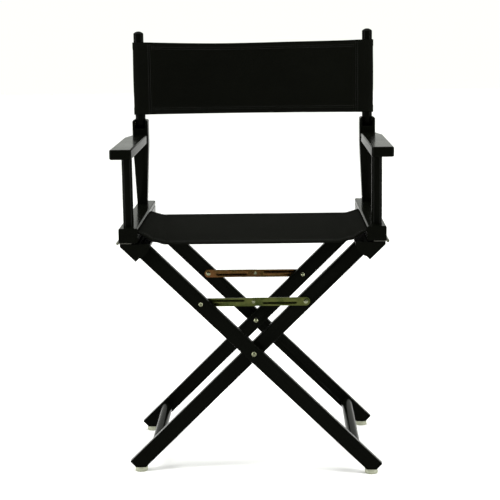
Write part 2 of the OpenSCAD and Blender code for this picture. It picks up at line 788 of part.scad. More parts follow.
module stay_screws_inner() {
    color(bright_steel) {
        stay_screw(inner_rear_y, screw_head_h, stay_stack + stay_nut_h);
        stay_screw(front_right_link_y - seat_gap, small_head_h,
                   stay_stack + stay_back_nut_h + seat_gap);
    }
}

// Thin nut behind a link at y0 and a nut on the back of a leg at y1
module stay_nuts(y0, y1) {
    color(bright_steel) {
        stay_nut(y0 + seat_gap, y0 + stay_nut_h, $fn);
        stay_nut(y1, y1 + stay_back_nut_h, 6);
    }
}

// One nut from y0 to y1; it has that number of sides
module stay_nut(y0, y1, sides) {
    difference() {
        translate([-stay_x, y1, stay_z]) rotate([90, 0, 0])
            cylinder(r = stay_nut_r, h = y1 - y0, $fn = sides);
        rod_y(-stay_x, stay_z, stay_hole_r, y0 - cut_over, y1 + cut_over);
    }
}

// Washers between a leg and its link, each starting at one of the listed places
module stay_washers(places) {
    color(bright_steel) for (y = places) difference() {
        rod_y(-stay_x, stay_z, stay_screw_d / 2 + washer_wall, y + seat_gap,
              y + stay_clear - seat_gap);
        rod_y(-stay_x, stay_z, stay_hole_r, y - cut_over, y + stay_clear + cut_over);
    }
}

seat_rail(-1);  // seat_rail_left
seat_rail(1);  // seat_rail_right
armrest(-1);  // armrest_left
armrest(1);  // armrest_right
front_post(-1);  // front_post_left
front_post(1);  // front_post_right
rear_post(-1);  // rear_post_left
rear_post(1);  // rear_post_right
seat_rod(-1);  // seat_rod_left
seat_rod(1);  // seat_rod_right
back_dowel(-1);  // back_dowel_left
back_dowel(1);  // back_dowel_right
back_pin(-1);  // back_pin_left
back_pin(1);  // back_pin_right
seat_canvas();
back_canvas();
outer_side() leg(outer_front_y, 1);  // front_leg_outer
outer_side() leg(outer_rear_y, -1);  // rear_leg_outer
inner_side() leg(inner_front_y, 1);  // front_leg_inner
inner_side() leg(inner_rear_y, -1);  // rear_leg_inner
outer_side() stretcher(outer_front_y + leg_t, outer_rear_y);  // stretcher_outer
inner_side() stretcher(inner_front_y + leg_t, inner_rear_y);  // stretcher_inner
outer_side() top_bar([outer_front_y, outer_rear_y]);  // top_bar_outer
inner_side() top_bar([inner_front_y, inner_rear_y]);  // top_bar_inner
outer_side() glides([outer_front_y, outer_rear_y]);  // glides_outer
inner_side() glides([inner_front_y, inner_rear_y]);  // glides_inner
rail_hinge_leaves(-1);  // rail_hinge_leaves_left
rail_hinge_leaves(1);  // rail_hinge_leaves_right
outer_side() bar_hinge_leaves();  // bar_hinge_leaves_outer
inner_side() bar_hinge_leaves();  // bar_hinge_leaves_inner
hinge_pins(-1);  // hinge_pins_left
hinge_pins(1);  // hinge_pins_right
rail_hinge_screws(-1);  // rail_hinge_screws_left
rail_hinge_screws(1);  // rail_hinge_screws_right
outer_side() bar_hinge_screws();  // bar_hinge_screws_outer
inner_side() bar_hinge_screws();  // bar_hinge_screws_inner
pivot_bolt(outer_front_y);  // pivot_bolt_front
pivot_bolt(inner_rear_y);  // pivot_bolt_rear
pivot_nuts();
pivot_spacers();
outer_side() stay_link(front_left_link_y, -1, stay_brass);  // stay_link_front_left
inner_side() stay_link(front_right_link_y, 1, stay_brass);  // stay_link_front_right
outer_side() stay_link(rear_left_link_y, 1, stay_copper);  // stay_link_rear_left
inner_side() stay_link(rear_right_link_y, -1, stay_copper);  // stay_link_rear_right
stay_rivet(front_left_link_y, -1);  // stay_rivet_front_head
stay_rivet(front_right_link_y + stay_t, 1);  // stay_rivet_front_tail
stay_rivet(rear_right_link_y, -1);  // stay_rivet_rear_head
stay_rivet(rear_left_link_y + stay_t, 1);  // stay_rivet_rear_tail
outer_side() stay_screws_outer();
inner_side() stay_screws_inner();
outer_side() stay_nuts(front_left_link_y + stay_t, outer_rear_y + leg_t);  // stay_nuts_outer
inner_side() stay_nuts(rear_right_link_y + stay_t, inner_front_y + leg_t);  // stay_nuts_inner
outer_side() stay_washers([outer_front_y + leg_t, rear_left_link_y + stay_t]);  // stay_washers_outer
inner_side() stay_washers([inner_rear_y + leg_t, front_right_link_y + stay_t]);  // stay_washers_inner
arm_screws(-1);  // arm_screws_left
arm_screws(1);  // arm_screws_right
post_screws(-1);  // post_screws_left
post_screws(1);  // post_screws_right
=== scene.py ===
# %% [markdown]
# # A folding director chair, dressed in Blender
# The wooden frame, the metal stays and every joint come from the CAD model and keep their
# places. This notebook gives the frame its lacquer, and makes the parts that CAD can't draw
# well: slung canvas, sewn hems, pressed metal and eased wooden edges.
# Each step says what the piece is on the real chair, how it could be made, and why it is
# made the way it is.

# %% Load the frame
import json
import math

import bmesh
import bpy
from mathutils import Matrix, Vector


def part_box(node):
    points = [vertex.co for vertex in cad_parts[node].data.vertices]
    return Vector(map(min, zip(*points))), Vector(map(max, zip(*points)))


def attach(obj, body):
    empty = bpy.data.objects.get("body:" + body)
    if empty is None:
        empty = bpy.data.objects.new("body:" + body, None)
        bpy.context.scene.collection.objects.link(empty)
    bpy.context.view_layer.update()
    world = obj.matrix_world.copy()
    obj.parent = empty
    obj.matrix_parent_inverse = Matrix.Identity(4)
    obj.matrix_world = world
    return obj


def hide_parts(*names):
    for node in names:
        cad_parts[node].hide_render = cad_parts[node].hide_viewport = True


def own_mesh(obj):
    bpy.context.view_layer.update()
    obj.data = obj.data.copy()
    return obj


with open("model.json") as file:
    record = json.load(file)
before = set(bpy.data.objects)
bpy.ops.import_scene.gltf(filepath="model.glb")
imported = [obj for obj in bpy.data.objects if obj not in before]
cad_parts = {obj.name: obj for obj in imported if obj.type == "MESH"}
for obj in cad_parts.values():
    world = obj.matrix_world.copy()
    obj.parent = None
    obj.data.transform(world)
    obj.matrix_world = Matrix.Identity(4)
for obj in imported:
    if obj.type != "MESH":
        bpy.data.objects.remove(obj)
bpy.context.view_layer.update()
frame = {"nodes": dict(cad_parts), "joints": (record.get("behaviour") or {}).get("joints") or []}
NODES = frame["nodes"]

# %% [markdown]
# ## The camera and the studio
# A catalogue picture of a chair is taken from a few metres away with a long lens, at about
# the height of the sitter's eyes, so that the legs stay straight and the seat just shows
# its top. The camera is built from its place, where it points, and a small roll, because
# that is how a tripod is set. The plain view transform keeps white paper white.

# %% Camera
CAMERA_AT = Vector((0.045, -2.858, 0.9195))
CAMERA_YAW = math.radians(-1.08)      # turn about the upright, towards +X
CAMERA_DOWN = math.radians(9.71)      # tilt below the horizon
CAMERA_ROLL = math.radians(0.80)
LENS_MM = 98.4
SENSOR_MM = 36.0

ahead = Vector((math.sin(CAMERA_YAW) * math.cos(CAMERA_DOWN),
                math.cos(CAMERA_YAW) * math.cos(CAMERA_DOWN), -math.sin(CAMERA_DOWN)))
level = Vector((math.cos(CAMERA_YAW), -math.sin(CAMERA_YAW), 0))
upright = level.cross(ahead)
right = level * math.cos(CAMERA_ROLL) - upright * math.sin(CAMERA_ROLL)
above = level * math.sin(CAMERA_ROLL) + upright * math.cos(CAMERA_ROLL)
camera_data = bpy.data.cameras.new("camera")
camera_data.lens = LENS_MM
camera_data.sensor_width = SENSOR_MM
camera = bpy.data.objects.new("camera", camera_data)
bpy.context.scene.collection.objects.link(camera)
camera.matrix_world = Matrix.Translation(CAMERA_AT) @ Matrix(
    (right, above, -ahead)).transposed().to_4x4()
bpy.context.scene.camera = camera
bpy.context.scene.view_settings.view_transform = "Standard"
print("camera", [round(v, 3) for v in camera.location])

# %% [markdown]
# ## Shader sums as Python sums
# A node tree is a drawing of a formula. Wrapping a socket in a small class whose operators
# add the Math nodes lets each material be written, and read, as the formula itself. Colours
# are mixed with Mix nodes, because a Math node would turn them grey.

# %% The socket wrapper and the graph
class Sum:
    """A socket holding a number, with + - and * that add Math nodes."""

    def __init__(self, graph, socket):
        self.graph = graph
        self.socket = socket

    def join(self, operation, first, second):
        return self.graph.add("ShaderNodeMath", {"operation": operation},
                              {0: first, 1: second}).out()

    def __add__(self, other):
        return self.join("ADD", self, other)

    def __sub__(self, other):
        return self.join("SUBTRACT", self, other)

    def __rsub__(self, other):
        return self.join("SUBTRACT", other, self)

    def __mul__(self, other):
        return self.join("MULTIPLY", self, other)

    __radd__ = __add__
    __rmul__ = __mul__

    def sine(self):
        return self.join("SINE", self, 0)

    def clamped(self):
        return self.join("MINIMUM", self.join("MAXIMUM", self, 0), 1)


class Added:
    """A node that was added to a graph."""

    def __init__(self, graph, node):
        self.graph = graph
        self.node = node

    def out(self, name=0):
        return Sum(self.graph, self.node.outputs[name])


class Graph:
    """The node tree of one material, with one method that adds any node."""

    def __init__(self, tree):
        self.tree = tree
        self.tree.nodes.clear()

    def add(self, kind, settings=None, values=None):
        node = self.tree.nodes.new(kind)
        for name, value in (settings or {}).items():
            setattr(node, name, value)
        for name, value in (values or {}).items():
            if isinstance(value, Sum):
                self.tree.links.new(value.socket, node.inputs[name])
            else:
                node.inputs[name].default_value = value
        return Added(self, node)

    def blend(self, share, low, high):
        """A colour between low and high; each is a colour or a link."""
        colours = {6: low if isinstance(low, Sum) else (*low, 1),
                   7: high if isinstance(high, Sum) else (*high, 1)}
        return self.add("ShaderNodeMix", {"data_type": "RGBA"}, {0: share, **colours}).out(2)

    def noise(self, where, scale, detail=3, rough=0.55):
        return self.add("ShaderNodeTexNoise", {},
                        {"Vector": where, "Scale": scale, "Detail": detail,
                         "Roughness": rough}).out("Fac")


def start_material(name):
    material = bpy.data.materials.new(name)
    material.use_nodes = True
    graph = Graph(material.node_tree)
    where = graph.add("ShaderNodeTexCoord").out("Object")
    return material, graph, where


def close_material(graph, values, height=None, height_m=0.0001, strength=1.0):
    """Adds the main shader, with a bump where a height is given, and the output."""
    if height is not None:
        values["Normal"] = graph.add(
            "ShaderNodeBump", {}, {"Height": height, "Distance": height_m,
                                   "Strength": strength}).out()
    shader = graph.add("ShaderNodeBsdfPrincipled", {}, values)
    graph.add("ShaderNodeOutputMaterial", {}, {"Surface": shader.out()})


# %% [markdown]
# ## Black lacquered hardwood
# The frame is beech, stained black and sprayed with a satin lacquer. The lacquer sinks a
# little into the pores, so long fine lines follow the grain, and it levels into very slight
# waves. Painting the grain on an image would need unwrapping; a noise that is squeezed
# across the grain and stretched along it does the same from the object's own coordinates,
# so only the direction of the grain has to be given for each piece.

# %% Black wood
LACQUER_DARK = (0.0008, 0.0009, 0.0006)
LACQUER_LIGHT = (0.0024, 0.0028, 0.0018)


def black_wood(name, grain):
    material, graph, where = start_material(name)
    turn = Vector((1, 0, 0)).rotation_difference(Vector(grain).normalized()).inverted().to_euler()
    along = graph.add("ShaderNodeMapping", {"vector_type": "POINT"},
                      {"Vector": where, "Rotation": tuple(turn)}).out()
    stretched = graph.add("ShaderNodeVectorMath", {"operation": "MULTIPLY"},
                          {0: along, 1: (14.0, 420.0, 420.0)}).out()
    pores = graph.noise(stretched, 1.0, 4, 0.6)
    figure = graph.noise(graph.add("ShaderNodeVectorMath", {"operation": "MULTIPLY"},
                                   {0: along, 1: (5.0, 60.0, 60.0)}).out(), 1.0, 3)
    level_waves = graph.noise(where, 70.0, 2)
    rubbed = graph.noise(where, 11.0, 4)
    colour = graph.blend((figure * 0.7 + pores * 0.3).clamped(), LACQUER_DARK, LACQUER_LIGHT)
    close_material(graph, {
        "Base Color": colour,
        "Roughness": (rubbed * 0.10 + pores * 0.05 + 0.11).clamped(),
        "Specular IOR Level": 0.012,
    }, pores * 0.8 + level_waves * 0.5, 0.00012, 0.55)
    return material


LEG_SLOPE = math.atan2(
    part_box("front_leg_outer")[1][2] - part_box("front_leg_outer")[0][2],
    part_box("front_leg_outer")[1][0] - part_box("front_leg_outer")[0][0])
WOOD_Y = black_wood("black_wood_along_y", (0, 1, 0))
WOOD_Z = black_wood("black_wood_upright", (0, 0, 1))
WOOD_OUTER = black_wood("black_wood_outer_legs", (math.cos(LEG_SLOPE), 0, -math.sin(LEG_SLOPE)))
WOOD_INNER = black_wood("black_wood_inner_legs", (math.cos(LEG_SLOPE), 0, math.sin(LEG_SLOPE)))
print("leg slope", round(math.degrees(LEG_SLOPE), 1))

# %% [markdown]
# ## Black cotton canvas
# Director chairs carry a heavy plain-weave cotton. Each thread passes over one and under
# the next, which two crossed sine waves multiplied together describe exactly: a bump where
# one thread is on top, a dip where it dives. The dye is a little worn on the thread tops,
# and broad soft clouds come from washing. The two directions of the cloth are given, since
# a back hangs in X and Z while a seat lies in X and Y.

# %% Canvas
THREAD_M = 0.0011
CANVAS_DARK = (0.0040, 0.0044, 0.0030)
CANVAS_WORN = (0.0185, 0.0205, 0.0145)


def canvas(name, second_axis, lift=1.0):
    material, graph, where = start_material(name)
    split = graph.add("ShaderNodeSeparateXYZ", {}, {0: where})
    wave = math.pi / THREAD_M
    wobble = graph.noise(where, 900.0, 2) * 0.9
    warp = (split.out("X") * wave + wobble).sine()
    weft = (split.out(second_axis) * wave + wobble).sine()
    weave = warp * weft * 0.5 + 0.5
    fibres = graph.noise(where, 2600.0, 2)
    clouds = graph.noise(where, 9.0, 4)
    worn = (weave * 0.55 + fibres * 0.25 + clouds * 0.5 - 0.15).clamped()
    colour = graph.blend(worn, tuple(c * lift for c in CANVAS_DARK),
                         tuple(c * lift for c in CANVAS_WORN))
    close_material(graph, {
        "Base Color": colour,
        "Roughness": (fibres * 0.12 + 0.82).clamped(),
        "Specular IOR Level": 0.012,
    }, weave * 0.8 + fibres * 0.35, 0.00022, 0.8)
    return material


BACK_CLOTH = canvas("canvas_back", "Z", 0.20)
SEAT_CLOTH = canvas("canvas_seat", "Y", 0.20)

# %% [markdown]
# ## Plated metal
# The screws are bright nickel; the stays are steel strip with a thin brass finish that has
# gone olive in places, and the rear pair redder. Plating is thin, so it takes the polish of
# the steel: fine lines along the strip, and clouds where fingers have dulled it.

# %% Metals
def plated(name, base, tarnish, rough, scratch_along=(1, 0, 0)):
    material, graph, where = start_material(name)
    turn = Vector((1, 0, 0)).rotation_difference(Vector(scratch_along)).inverted().to_euler()
    along = graph.add("ShaderNodeMapping", {}, {"Vector": where, "Rotation": tuple(turn)}).out()
    lines = graph.noise(graph.add("ShaderNodeVectorMath", {"operation": "MULTIPLY"},
                                  {0: along, 1: (60.0, 2600.0, 2600.0)}).out(), 1.0, 3)
    clouds = graph.noise(where, 45.0, 4)
    colour = graph.blend((clouds * 2.2 - 0.6).clamped(), base, tarnish)
    close_material(graph, {
        "Base Color": colour,
        "Metallic": 1.0,
        "Roughness": (clouds * 0.18 + lines * 0.10 + rough).clamped(),
    }, lines, 0.00002, 0.4)
    return material


DULL_STEEL = plated("dull_steel", (0.16, 0.16, 0.14), (0.08, 0.08, 0.07), 0.30)
NICKEL = plated("bright_nickel", (0.20, 0.21, 0.135), (0.11, 0.116, 0.072), 0.12)
BRASS = plated("brass_plate", (0.068, 0.073, 0.022), (0.020, 0.029, 0.008), 0.12)
COPPER = plated("reddish_plate", (0.098, 0.041, 0.016), (0.046, 0.034, 0.010), 0.12)

# %% [markdown]
# ## Plastic glides and bare dowel
# The glides are moulded in a cream plastic that floors have scuffed to a greyish olive. The
# rods that hold the seat stay unpainted, because nobody sees more than their ends.

# %% Plastic and bare wood
def moulded_plastic():
    material, graph, where = start_material("cream_plastic")
    scuffs = graph.noise(where, 160.0, 5, 0.7)
    colour = graph.blend((scuffs * 2.4 - 1.0).clamped(), (0.29, 0.30, 0.22), (0.17, 0.18, 0.125))
    close_material(graph, {
        "Base Color": colour,
        "Roughness": (scuffs * 0.25 + 0.35).clamped(),
        "Specular IOR Level": 0.45,
    }, scuffs, 0.0001, 0.4)
    return material


def bare_wood():
    material, graph, where = start_material("bare_wood")
    rings = graph.noise(graph.add("ShaderNodeVectorMath", {"operation": "MULTIPLY"},
                                  {0: where, 1: (700.0, 18.0, 700.0)}).out(), 1.0, 3)
    colour = graph.blend(rings, (0.62, 0.45, 0.26), (0.42, 0.27, 0.14))
    close_material(graph, {"Base Color": colour, "Roughness": (rings * 0.2 + 0.5).clamped()},
                   rings, 0.0001, 0.5)
    return material


PLASTIC = moulded_plastic()
BARE = bare_wood()

# %% [markdown]
# ## Giving each CAD node its finish
# The frame's own meshes are exact, so most of them stay and only take a material. A node's
# name says what it is, so a short list of rules covers them all.

# %% Assign finishes
FINISHES = (
    ("seat_rod", BARE), ("glides", PLASTIC),
    ("stay_link_front", BRASS), ("stay_link_rear", COPPER),
    ("hinge_leaves", DULL_STEEL), ("hinge", NICKEL), ("screw", NICKEL), ("nut", NICKEL),
    ("bolt", NICKEL), ("spacer", NICKEL), ("washer", NICKEL), ("rivet", NICKEL),
    ("back_pin", NICKEL), ("leg_outer", WOOD_OUTER), ("leg_inner", WOOD_INNER),
    ("post", WOOD_Z), ("dowel", WOOD_Z), ("rail", WOOD_Y), ("armrest", WOOD_Y),
    ("stretcher", WOOD_Y), ("top_bar", WOOD_Y),
)


def finish_of(node_name):
    return next((finish for word, finish in FINISHES if word in node_name), BACK_CLOTH)


for node_name, node in NODES.items():
    node.data.materials.clear()
    node.data.materials.append(finish_of(node_name))
print("finishes", sorted({finish_of(n).name for n in NODES}))

# %% [markdown]
# ## Making pieces
# Every piece made here is a list of corners and faces, put in place in metres, then tied to
# the body it moves with. One helper does this for all of them.

# %% The piece helper
def make_piece(name, corners, faces, finish, body, slot, smooth=True):
    mesh = bpy.data.meshes.new(name)
    mesh.from_pydata([tuple(c) for c in corners], [], faces)
    mesh.materials.append(finish)
    piece = bpy.data.objects.new(name, mesh)
    bpy.context.scene.collection.objects.link(piece)
    tidy = bmesh.new()
    tidy.from_mesh(mesh)
    bmesh.ops.remove_doubles(tidy, verts=tidy.verts, dist=1e-6)
    bmesh.ops.recalc_face_normals(tidy, faces=tidy.faces)
    tidy.to_mesh(mesh)
    tidy.free()
    mesh.shade_smooth() if smooth else mesh.shade_flat()
    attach(piece, body)
    return piece


def apply_modifiers(piece):
    """Freezes a piece's modifiers into its mesh."""
    held = piece.evaluated_get(bpy.context.evaluated_depsgraph_get())
    made = bpy.data.meshes.new_from_object(held)
    piece.modifiers.clear()
    piece.data = made


def ease_edges(piece, width, segments=3, angle=30):
    bevel = piece.modifiers.new("ease", "BEVEL")
    bevel.width = width
    bevel.segments = segments
    bevel.limit_method = "ANGLE"
    bevel.angle_limit = math.radians(angle)
    bevel.harden_normals = True
    apply_modifiers(piece)
    piece.data.shade_smooth()


# %% [markdown]
# ## Armrests
# An armrest is a flat board with its edges rounded over on a router, so a bright line runs
# round its top. Extruding the board's plan and bevelling it gives one smooth round, where
# the CAD board has small steps. The plan is worked out from the CAD board's own box.

# %% Armrests
ARM_NOSE_R = 0.006
ARM_EASE = 0.0032
ARM_CLIP = 0.062
NOSE_STEPS = 6


def arm_outline(low, high, side, post_edge):
    """Corners of the board in plan, counterclockwise for the side at +X."""
    inner, outer = (low[0], high[0]) if side > 0 else (-high[0], -low[0])
    corners = []
    for cx, start in ((inner + ARM_NOSE_R, 180), (outer - ARM_NOSE_R, 270)):
        for i in range(NOSE_STEPS + 1):
            angle = math.radians(start + 90 * i / NOSE_STEPS)
            corners.append((cx + ARM_NOSE_R * math.cos(angle),
                            low[1] + ARM_NOSE_R + ARM_NOSE_R * math.sin(angle)))
    corners += [(outer, high[1] - ARM_CLIP), (post_edge, high[1]), (inner, high[1])]
    return [(side * x, y) for x, y in corners]


def board(name, outline, bottom, top, finish, body, slot):
    count = len(outline)
    corners = [(x, y, bottom) for x, y in outline] + [(x, y, top) for x, y in outline]
    faces = [tuple(range(count)), tuple(range(count, 2 * count))]
    faces += [(i, (i + 1) % count, count + (i + 1) % count, count + i) for i in range(count)]
    return make_piece(name, corners, faces, finish, body, slot)


for side, word in ((-1, "left"), (1, "right")):
    low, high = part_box("armrest_" + word)
    post_low, post_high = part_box("rear_post_" + word)
    post_edge = post_high[0] if side > 0 else -post_low[0]
    arm = board("armrest_board_" + word, arm_outline(low, high, side, post_edge),
                low[2], high[2], WOOD_Y, word + "_side", "black_wood")
    ease_edges(arm, ARM_EASE, 4)
    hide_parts("armrest_" + word)
    print(arm.name, len(arm.data.polygons), "faces")

# %% [markdown]
# ## Rear posts and legs
# The rear posts widen upwards and end in a fork that the folding dowel sits in; the legs are
# straight sticks. A maker takes the sharp edges off both before the lacquer, and the lacquer
# then shows a thin pale line there. The CAD shapes are right but knife-sharp. A copy is
# cleaned of the triangles that lie in one plane, and then its sharp edges are eased, which
# keeps every size.

# %% Ease the rear posts and the legs
POST_EASE = 0.0016
LEG_EASE = 0.0014
ONE_PLANE = math.radians(1.0)          # faces that meet at less than this become one
EASED_CORNER = math.radians(40)        # corners sharper than this are eased
SHADED_CORNER = math.radians(28)       # corners sharper than this are shaded as corners
SMALL_FACE = 4e-5                      # m2; the facets of screw holes are smaller


def eased_copy(node_name, piece_name, body, finish, width):
    source = NODES[node_name]
    mesh = source.data.copy()
    mesh.transform(source.matrix_world)
    tidy = bmesh.new()
    tidy.from_mesh(mesh)
    bmesh.ops.remove_doubles(tidy, verts=tidy.verts, dist=2e-6)
    bmesh.ops.dissolve_limit(tidy, angle_limit=ONE_PLANE, verts=tidy.verts, edges=tidy.edges)
    sharp = [e for e in tidy.edges if len(e.link_faces) == 2
             and e.calc_face_angle(0) > EASED_CORNER
             and min(f.calc_area() for f in e.link_faces) > SMALL_FACE
             and e.calc_length() > 4 * width]
    bmesh.ops.bevel(tidy, geom=sharp, offset=width, segments=3, profile=0.5,
                    affect="EDGES", clamp_overlap=True)
    tidy.to_mesh(mesh)
    tidy.free()
    mesh.materials.clear()
    mesh.materials.append(finish)
    mesh.shade_smooth()
    piece = bpy.data.objects.new(piece_name, mesh)
    bpy.context.scene.collection.objects.link(piece)
    mesh.set_sharp_from_angle(angle=SHADED_CORNER)
    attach(piece, body)
    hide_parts(node_name)
    return piece


for word in ("left", "right"):
    post = eased_copy("rear_post_" + word, "forked_post_" + word, word + "_side", WOOD_Z,
                      POST_EASE)
    print(post.name, len(post.data.polygons), "faces")
for pair, leg_finish in (("outer", WOOD_OUTER), ("inner", WOOD_INNER)):
    for end in ("front", "rear"):
        leg = eased_copy(end + "_leg_" + pair, "eased_" + end + "_leg_" + pair, pair + "_legs",
                         leg_finish, LEG_EASE)
        print(leg.name, len(leg.data.polygons), "faces")

# %% [markdown]
# ## Stay links
# Each stay is two strips of steel, stamped with one long bead that stiffens it. A press
# leaves soft shoulders, which a plain extruded ridge does not have. The strip is a grid
# whose rows follow the round ends; the bead is a smooth rise around a centre line, and the
# back of the strip follows it, as pressed metal does.

# %% Stay links
BEAD_HEIGHT = 0.0011
BEAD_SHOULDER = 0.0022
BEAD_WIDTH = 0.0062
BEAD_SHARE = 0.50                      # of the link's length
BEAD_CAD = 0.0007                      # height of the plain ridge on the CAD link
LINK_STEPS = 96
LINK_ROWS = 20


def smooth_rise(edge0, edge1, value):
    share = max(0.0, min(1.0, (value - edge0) / (edge1 - edge0)))
    return share * share * (3 - 2 * share)


def stay_link(node_name, body, finish, slot, towards):
    """towards is -1 where the bead stands towards the front and 1 towards the back."""
    low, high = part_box(node_name)
    half = (high[2] - low[2]) / 2
    centre_z = (high[2] + low[2]) / 2
    thick = high[1] - low[1] - BEAD_CAD
    face_y = high[1] - thick if towards < 0 else low[1]
    middle_x = (low[0] + high[0]) / 2
    bead_half = (high[0] - low[0]) * BEAD_SHARE / 2

    def rise(x, z):
        past = max(0.0, abs(x - middle_x) - bead_half)
        away = math.hypot(past, z - centre_z)
        return towards * BEAD_HEIGHT * (1 - smooth_rise(BEAD_WIDTH / 2 - BEAD_SHOULDER,
                                                        BEAD_WIDTH / 2 + BEAD_SHOULDER, away))

    layers = []
    for y in (face_y, face_y + thick):
        layer = []
        for i in range(LINK_STEPS + 1):
            bend = math.pi * i / LINK_STEPS
            x = middle_x - math.cos(bend) * (high[0] - low[0]) / 2
            inside = min(x - low[0], high[0] - x)
            reach = half if inside >= half else math.sqrt(max(0, half ** 2 - (half - inside) ** 2))
            for j in range(LINK_ROWS + 1):
                z = centre_z + reach * (2 * j / LINK_ROWS - 1)
                layer.append((x, y + rise(x, z), z))
        layers.append(layer)
    row = LINK_ROWS + 1
    count = len(layers[0])
    faces = []
    for i in range(LINK_STEPS):
        for j in range(LINK_ROWS):
            a = i * row + j
            faces.append((a, a + 1, a + row + 1, a + row))
            faces.append((count + a, count + a + row, count + a + row + 1, count + a + 1))
        for j in (0, LINK_ROWS):
            a = i * row + j
            faces.append((a, a + row, count + a + row, count + a))
    link = make_piece(node_name + "_pressed", layers[0] + layers[1], faces, finish, body, slot)
    link.data.set_sharp_from_angle(angle=math.radians(40))
    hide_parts(node_name)
    return link


LINKS = (
    ("stay_link_front_left", "front_left_stay", BRASS, "stay_brass", -1),
    ("stay_link_front_right", "front_right_stay", BRASS, "stay_brass", 1),
    ("stay_link_rear_left", "rear_left_stay", COPPER, "stay_copper", 1),
    ("stay_link_rear_right", "rear_right_stay", COPPER, "stay_copper", -1),
)
for link_facts in LINKS:
    print(stay_link(*link_facts).name)

# %% [markdown]
# ## Cloth as a thin closed sheet
# Canvas is about a millimetre thick, and twice that along a hem, where it is folded over.
# A plain grid with a Solidify modifier has the same thickness everywhere, so the two faces
# are built together here, with a thickness that may vary. The middle surface comes from a
# function of two shares, one across and one along the cloth.

# %% The cloth helper
CLOTH_T = 0.0012
HEM_T = 0.0026


def cloth_sheet(name, middle, steps_u, steps_v, thickness, finish, body, slot="canvas"):
    points = [[middle(i / steps_u, j / steps_v) for j in range(steps_v + 1)]
              for i in range(steps_u + 1)]
    front, back = [], []
    for i in range(steps_u + 1):
        for j in range(steps_v + 1):
            across = points[min(i + 1, steps_u)][j] - points[max(i - 1, 0)][j]
            along = points[i][min(j + 1, steps_v)] - points[i][max(j - 1, 0)]
            out = across.cross(along).normalized()
            half = thickness(i / steps_u, j / steps_v) / 2
            front.append(points[i][j] + out * half)
            back.append(points[i][j] - out * half)
    row = steps_v + 1
    count = len(front)
    faces = []
    for i in range(steps_u):
        for j in range(steps_v):
            a = i * row + j
            faces.append((a, a + row, a + row + 1, a + 1))
            faces.append((count + a, count + a + 1, count + a + row + 1, count + a + row))
    for i in range(steps_u):
        for j in (0, steps_v):
            a = i * row + j
            faces.append((a, a + row, count + a + row, count + a))
    for j in range(steps_v):
        for i in (0, steps_u):
            a = i * row + j
            faces.append((a, a + 1, count + a + 1, count + a))
    return make_piece(name, front + back, faces, finish, body, slot)


# %% [markdown]
# ## Stitches
# A row of stitches is what makes a hem read as a hem. Each stitch is a short thread that
# dips into the cloth at both ends: a small tapered lozenge of eight corners, laid along the
# surface. All the stitches of one seam are one piece.

# %% The stitch helper
STITCH_PITCH = 0.0042
STITCH_LEN = 0.0030
THREAD_W = 0.0008


def sewing_thread():
    material, graph, where = start_material("black_thread")
    close_material(graph, {
        "Base Color": graph.blend(graph.noise(where, 1800.0), (0.004, 0.0044, 0.0034),
                                  (0.011, 0.012, 0.0095)),
        "Roughness": 0.7,
        "Specular IOR Level": 0.3,
    })
    return material


THREAD = sewing_thread()


def stitch_row(name, path, lift, body):
    """path gives both ends of each stitch and the cloth's outward direction."""
    corners, faces = [], []
    for (a, b), out in path:
        run = (b - a).normalized()
        side = run.cross(out).normalized() * THREAD_W / 2
        first = len(corners)
        for place, high, wide in ((a, -0.2, 0.5), (a.lerp(b, 0.3), 1, 1), (a.lerp(b, 0.7), 1, 1),
                                  (b, -0.2, 0.5)):
            crest = place + out * lift * high
            corners += [crest - side * wide, crest + out * THREAD_W * 0.35 * wide,
                        crest + side * wide, crest - out * THREAD_W * 0.5]
        for ring in range(3):
            for k in range(4):
                p = first + ring * 4
                faces.append((p + k, p + (k + 1) % 4, p + 4 + (k + 1) % 4, p + 4 + k))
        faces.append((first, first + 3, first + 2, first + 1))
        faces.append((first + 12, first + 13, first + 14, first + 15))
    return make_piece(name, corners, faces, THREAD, body, "canvas")


def seam(surface, u0, v0, u1, v1, length, outward):
    """Stitches along a straight line in a cloth's shares, on the face towards outward."""
    count = int(length / STITCH_PITCH)
    share = STITCH_LEN / STITCH_PITCH
    for k in range(count):
        t0 = k / count
        t1 = (k + share) / count
        a = surface(u0 + (u1 - u0) * t0, v0 + (v1 - v0) * t0)
        b = surface(u0 + (u1 - u0) * t1, v0 + (v1 - v0) * t1)
        yield (a, b), outward


# %% [markdown]
# ## The canvas back
# The back is one strip of canvas whose ends are turned round the two dowels and sewn down.
# When the chair folds the dowels come together and the cloth between them crumples, so it
# is made in three pieces that meet on the sewn lines: a sleeve that stays on each dowel,
# and the panel between. The strip is not quite tight: its top edge
# dips a little and the middle bellies back by a few millimetres.

# %% Sizes of the canvas back
back_low, back_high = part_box("back_canvas")
dowel_low, dowel_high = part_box("back_dowel_right")
DOWEL_X = (dowel_low[0] + dowel_high[0]) / 2
DOWEL_Y = (dowel_low[1] + dowel_high[1]) / 2
DOWEL_R = (dowel_high[0] - dowel_low[0]) / 2
BACK_BOTTOM = back_low[2]
BACK_TOP = back_high[2]
BACK_H = BACK_TOP - BACK_BOTTOM
SLEEVE_R = DOWEL_R + 0.0016            # radius of the cloth's middle round a dowel
SEAM_X = DOWEL_X - 0.026               # where the sleeves are sewn to the panel
PANEL_Y = DOWEL_Y - SLEEVE_R           # depth of the panel where it leaves a sleeve
BACK_BELLY = 0.006                     # how far the middle goes back
BACK_DIP = 0.0045                      # how far the top edge dips
BACK_LIFT = 0.0008                     # how far the bottom edge rises
RIPPLE = 0.0007
SEAM_PULL = 0.0012                     # how far the stitching drags the cloth beside it
HEM_W = 0.014
SEAM_DIMPLE = 0.0012
SLEEVE_TAIL = 0.001                    # turned-in end of a sleeve, past its seam
SLEEVE_SWELL = 0.0006                  # how much rounder a sleeve is at mid height
SLEEVE_LAYER = 0.0032                  # from the panel's middle to the sleeve's end behind it
